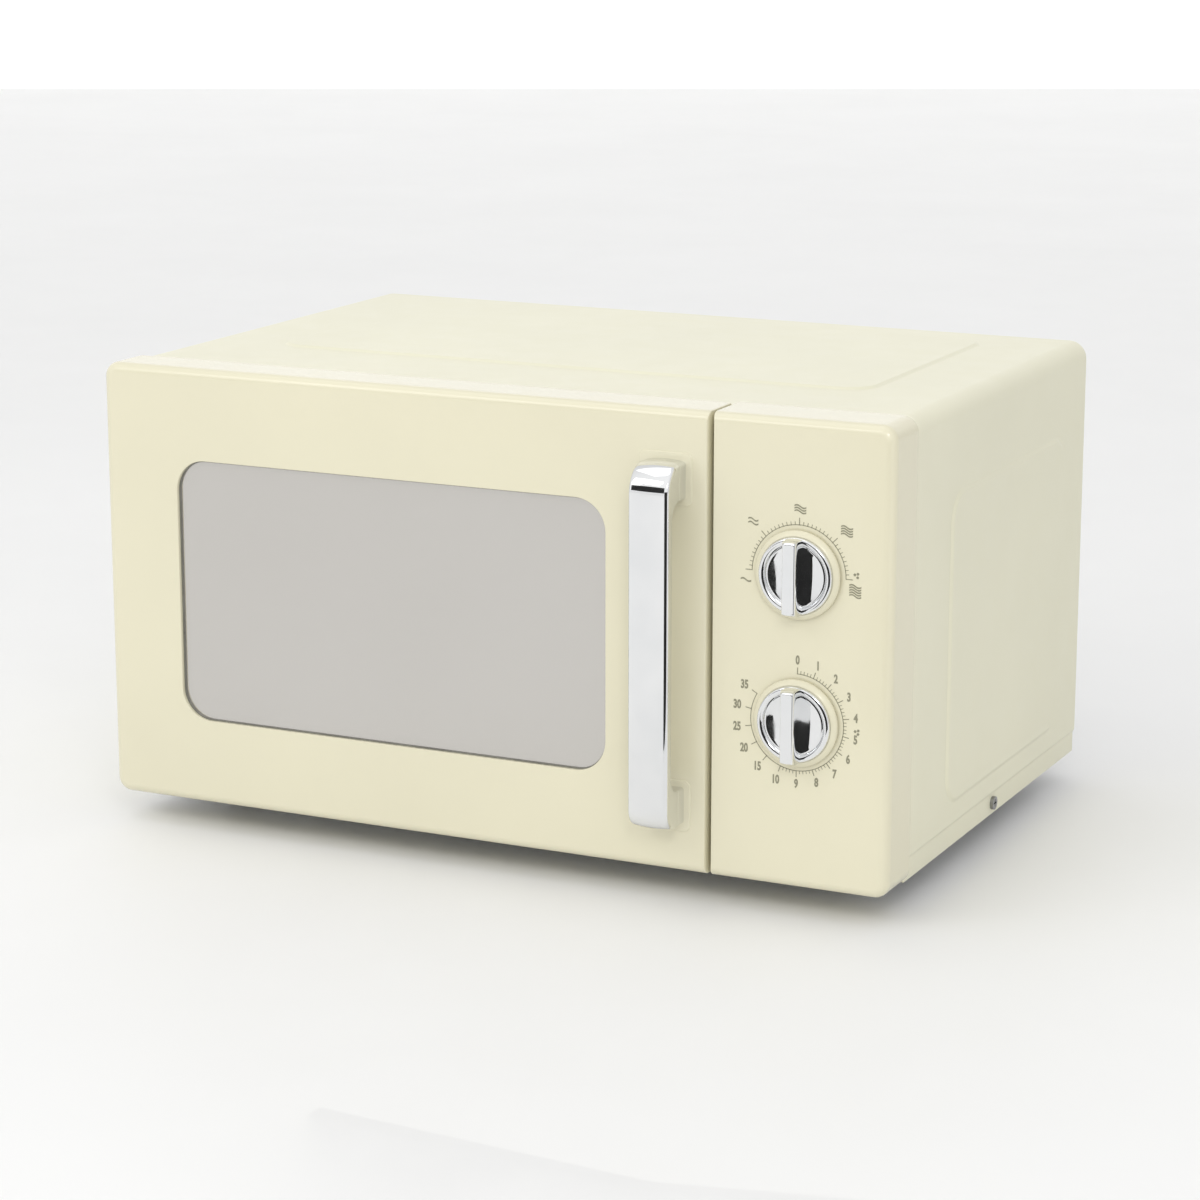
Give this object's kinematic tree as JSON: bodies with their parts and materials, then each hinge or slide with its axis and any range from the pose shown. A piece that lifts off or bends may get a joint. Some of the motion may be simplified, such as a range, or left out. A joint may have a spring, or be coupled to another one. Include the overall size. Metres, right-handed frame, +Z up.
{
  "type": "microwave oven",
  "caption": "Compact countertop microwave oven with a left-hinged window door, a chrome bar handle, two chrome dials and a glass turntable.",
  "frame": {"origin": "centre of the overall footprint, on the plane that the feet stand on", "axes": "+X to the right as seen from the front, -Y out of the front, +Z up"},
  "size_m": [0.4514, 0.33, 0.254],
  "materials": {
    "cream_paint": "gloss powder-coated sheet steel",
    "cream_plastic": "glossy moulded plastic",
    "chrome": "polished chrome plating",
    "zinc_steel": "galvanised sheet steel",
    "enamel": "cavity paint",
    "inner_door": "painted screen panel",
    "window": "grey mirrored pane",
    "glass": "clear tempered glass",
    "rubber": "moulded rubber",
    "screw_steel": "zinc-plated screw",
    "white_plastic": "natural white plastic",
    "dark_plastic": "black plastic",
    "red_plastic": "red plastic",
    "mica": "mica sheet",
    "aluminium": "bare aluminium",
    "core_steel": "varnished laminations",
    "copper": "enamelled copper wire",
    "spring_steel": "spring wire",
    "board": "circuit board",
    "bell_metal": "plated bell"
  },
  "bodies": {
    "chassis": {"outer_casing": "cream_paint", "base_plate": "zinc_steel", "rear_panel": "zinc_steel", "front_frame": "enamel", "cavity": "enamel", "feet": "rubber", "casing_screws": "screw_steel", "control_panel": "cream_plastic", "upper_hinge": "zinc_steel", "lower_hinge": "zinc_steel", "latch_board": "white_plastic", "primary_switch": "dark_plastic", "monitor_switch": "red_plastic", "secondary_switch": "dark_plastic", "timer_housing": "zinc_steel", "timer_motor": "zinc_steel", "timer_bell": "bell_metal", "turntable_motor": "zinc_steel", "waveguide": "zinc_steel", "waveguide_cover": "mica", "magnetron": "zinc_steel", "magnetron_fins": "aluminium", "transformer_core": "core_steel", "transformer_windings": "copper", "capacitor": "aluminium", "capacitor_clamp": "zinc_steel", "high_voltage_diode": "dark_plastic", "fan_motor": "core_steel", "fan_motor_coil": "copper", "fan_shroud": "white_plastic", "oven_lamp": "glass", "lamp_bracket": "zinc_steel", "thermal_cutout": "dark_plastic", "filter_board": "board", "cord_gland": "rubber"},
    "door": {"door_frame": "cream_plastic", "door_window": "window", "door_inner_panel": "inner_door", "door_choke_cover": "cream_plastic", "door_handle": "chrome", "handle_screws": "screw_steel", "latch_spring": "spring_steel"},
    "latch": {"latch_hooks": "white_plastic"},
    "primary_button": {"primary_button": "red_plastic"},
    "monitor_button": {"monitor_button": "white_plastic"},
    "secondary_button": {"secondary_button": "red_plastic"},
    "power_dial": {"power_knob": "chrome", "power_knob_skirt": "cream_plastic", "power_shaft": "white_plastic"},
    "timer_dial": {"timer_knob": "chrome", "timer_knob_skirt": "cream_plastic", "timer_shaft": "white_plastic"},
    "hammer": {"bell_hammer": "spring_steel"},
    "coupler": {"turntable_coupler": "white_plastic"},
    "plate": {"glass_turntable": "glass"},
    "roller_ring": {"roller_ring": "white_plastic"},
    "roller_front": {"roller_front": "white_plastic"},
    "roller_left": {"roller_left": "white_plastic"},
    "roller_right": {"roller_right": "white_plastic"},
    "fan": {"fan_blade": "dark_plastic"}
  },
  "joints": [
    {"name": "door_swing", "type": "hinge", "parent": "chassis", "child": "door", "pos_m": [-0.217, -0.12375, 0.135], "axis": [0, 0, -1], "range_deg": [0, 95]},
    {"name": "latch_lift", "type": "slide", "parent": "door", "child": "latch", "axis": [0, 0, 1], "range_m": [0, 0.0035], "stiffness_N_per_m": 200, "springref_m": -0.004, "deforming": ["latch_spring"]},
    {"name": "primary_button_press", "type": "slide", "parent": "chassis", "child": "primary_button", "axis": [0, 1, 0], "range_m": [0, 0.0012], "stiffness_N_per_m": 400, "springref_m": -0.001},
    {"name": "monitor_button_press", "type": "slide", "parent": "chassis", "child": "monitor_button", "axis": [0, 1, 0], "range_m": [0, 0.0012], "stiffness_N_per_m": 400, "springref_m": -0.001},
    {"name": "secondary_button_press", "type": "slide", "parent": "chassis", "child": "secondary_button", "axis": [0, 1, 0], "range_m": [0, 0.0012], "stiffness_N_per_m": 400, "springref_m": -0.001},
    {"name": "power_turn", "type": "hinge", "parent": "chassis", "child": "power_dial", "pos_m": [0.17675, -0.143, 0.177], "axis": [0, 1, 0], "range_deg": [-90, 90]},
    {"name": "timer_turn", "type": "hinge", "parent": "chassis", "child": "timer_dial", "pos_m": [0.17675, -0.143, 0.102], "axis": [0, 1, 0], "range_deg": [0, 300]},
    {"name": "hammer_swing", "type": "hinge", "parent": "chassis", "child": "hammer", "pos_m": [0.19675, -0.088, 0.159], "axis": [0, -1, 0], "range_deg": [0, 22], "stiffness_Nm_per_rad": 0.01, "springref_deg": -8.59},
    {"name": "turntable_spin", "type": "hinge", "parent": "chassis", "child": "coupler", "pos_m": [-0.053, 0.0184, 0.038], "axis": [0, 0, 1], "continuous": true},
    {"name": "plate_lift", "type": "slide", "parent": "coupler", "child": "plate", "axis": [0, 0, 1], "range_m": [0, 0.04]},
    {"name": "ring_roll", "type": "hinge", "parent": "chassis", "child": "roller_ring", "pos_m": [-0.053, 0.0184, 0.046], "axis": [0, 0, 1], "continuous": true},
    {"name": "roller_front_turn", "type": "hinge", "parent": "roller_ring", "child": "roller_front", "pos_m": [-0.053, -0.0776, 0.046], "axis": [0, -1, 0], "continuous": true},
    {"name": "roller_right_turn", "type": "hinge", "parent": "roller_ring", "child": "roller_right", "pos_m": [0.03014, 0.0664, 0.046], "axis": [0.866, 0.5, 0], "continuous": true},
    {"name": "roller_left_turn", "type": "hinge", "parent": "roller_ring", "child": "roller_left", "pos_m": [-0.13614, 0.0664, 0.046], "axis": [-0.866, 0.5, 0], "continuous": true},
    {"name": "fan_spin", "type": "hinge", "parent": "chassis", "child": "fan", "pos_m": [0.16278, 0.1195, 0.181], "axis": [0, 1, 0], "continuous": true}
  ],
  "couplings": [
    {"joint": "ring_roll", "follows": "turntable_spin", "ratio": 0.5},
    {"joint": "roller_front_turn", "follows": "turntable_spin", "ratio": -6},
    {"joint": "roller_right_turn", "follows": "turntable_spin", "ratio": -6},
    {"joint": "roller_left_turn", "follows": "turntable_spin", "ratio": -6}
  ]
}
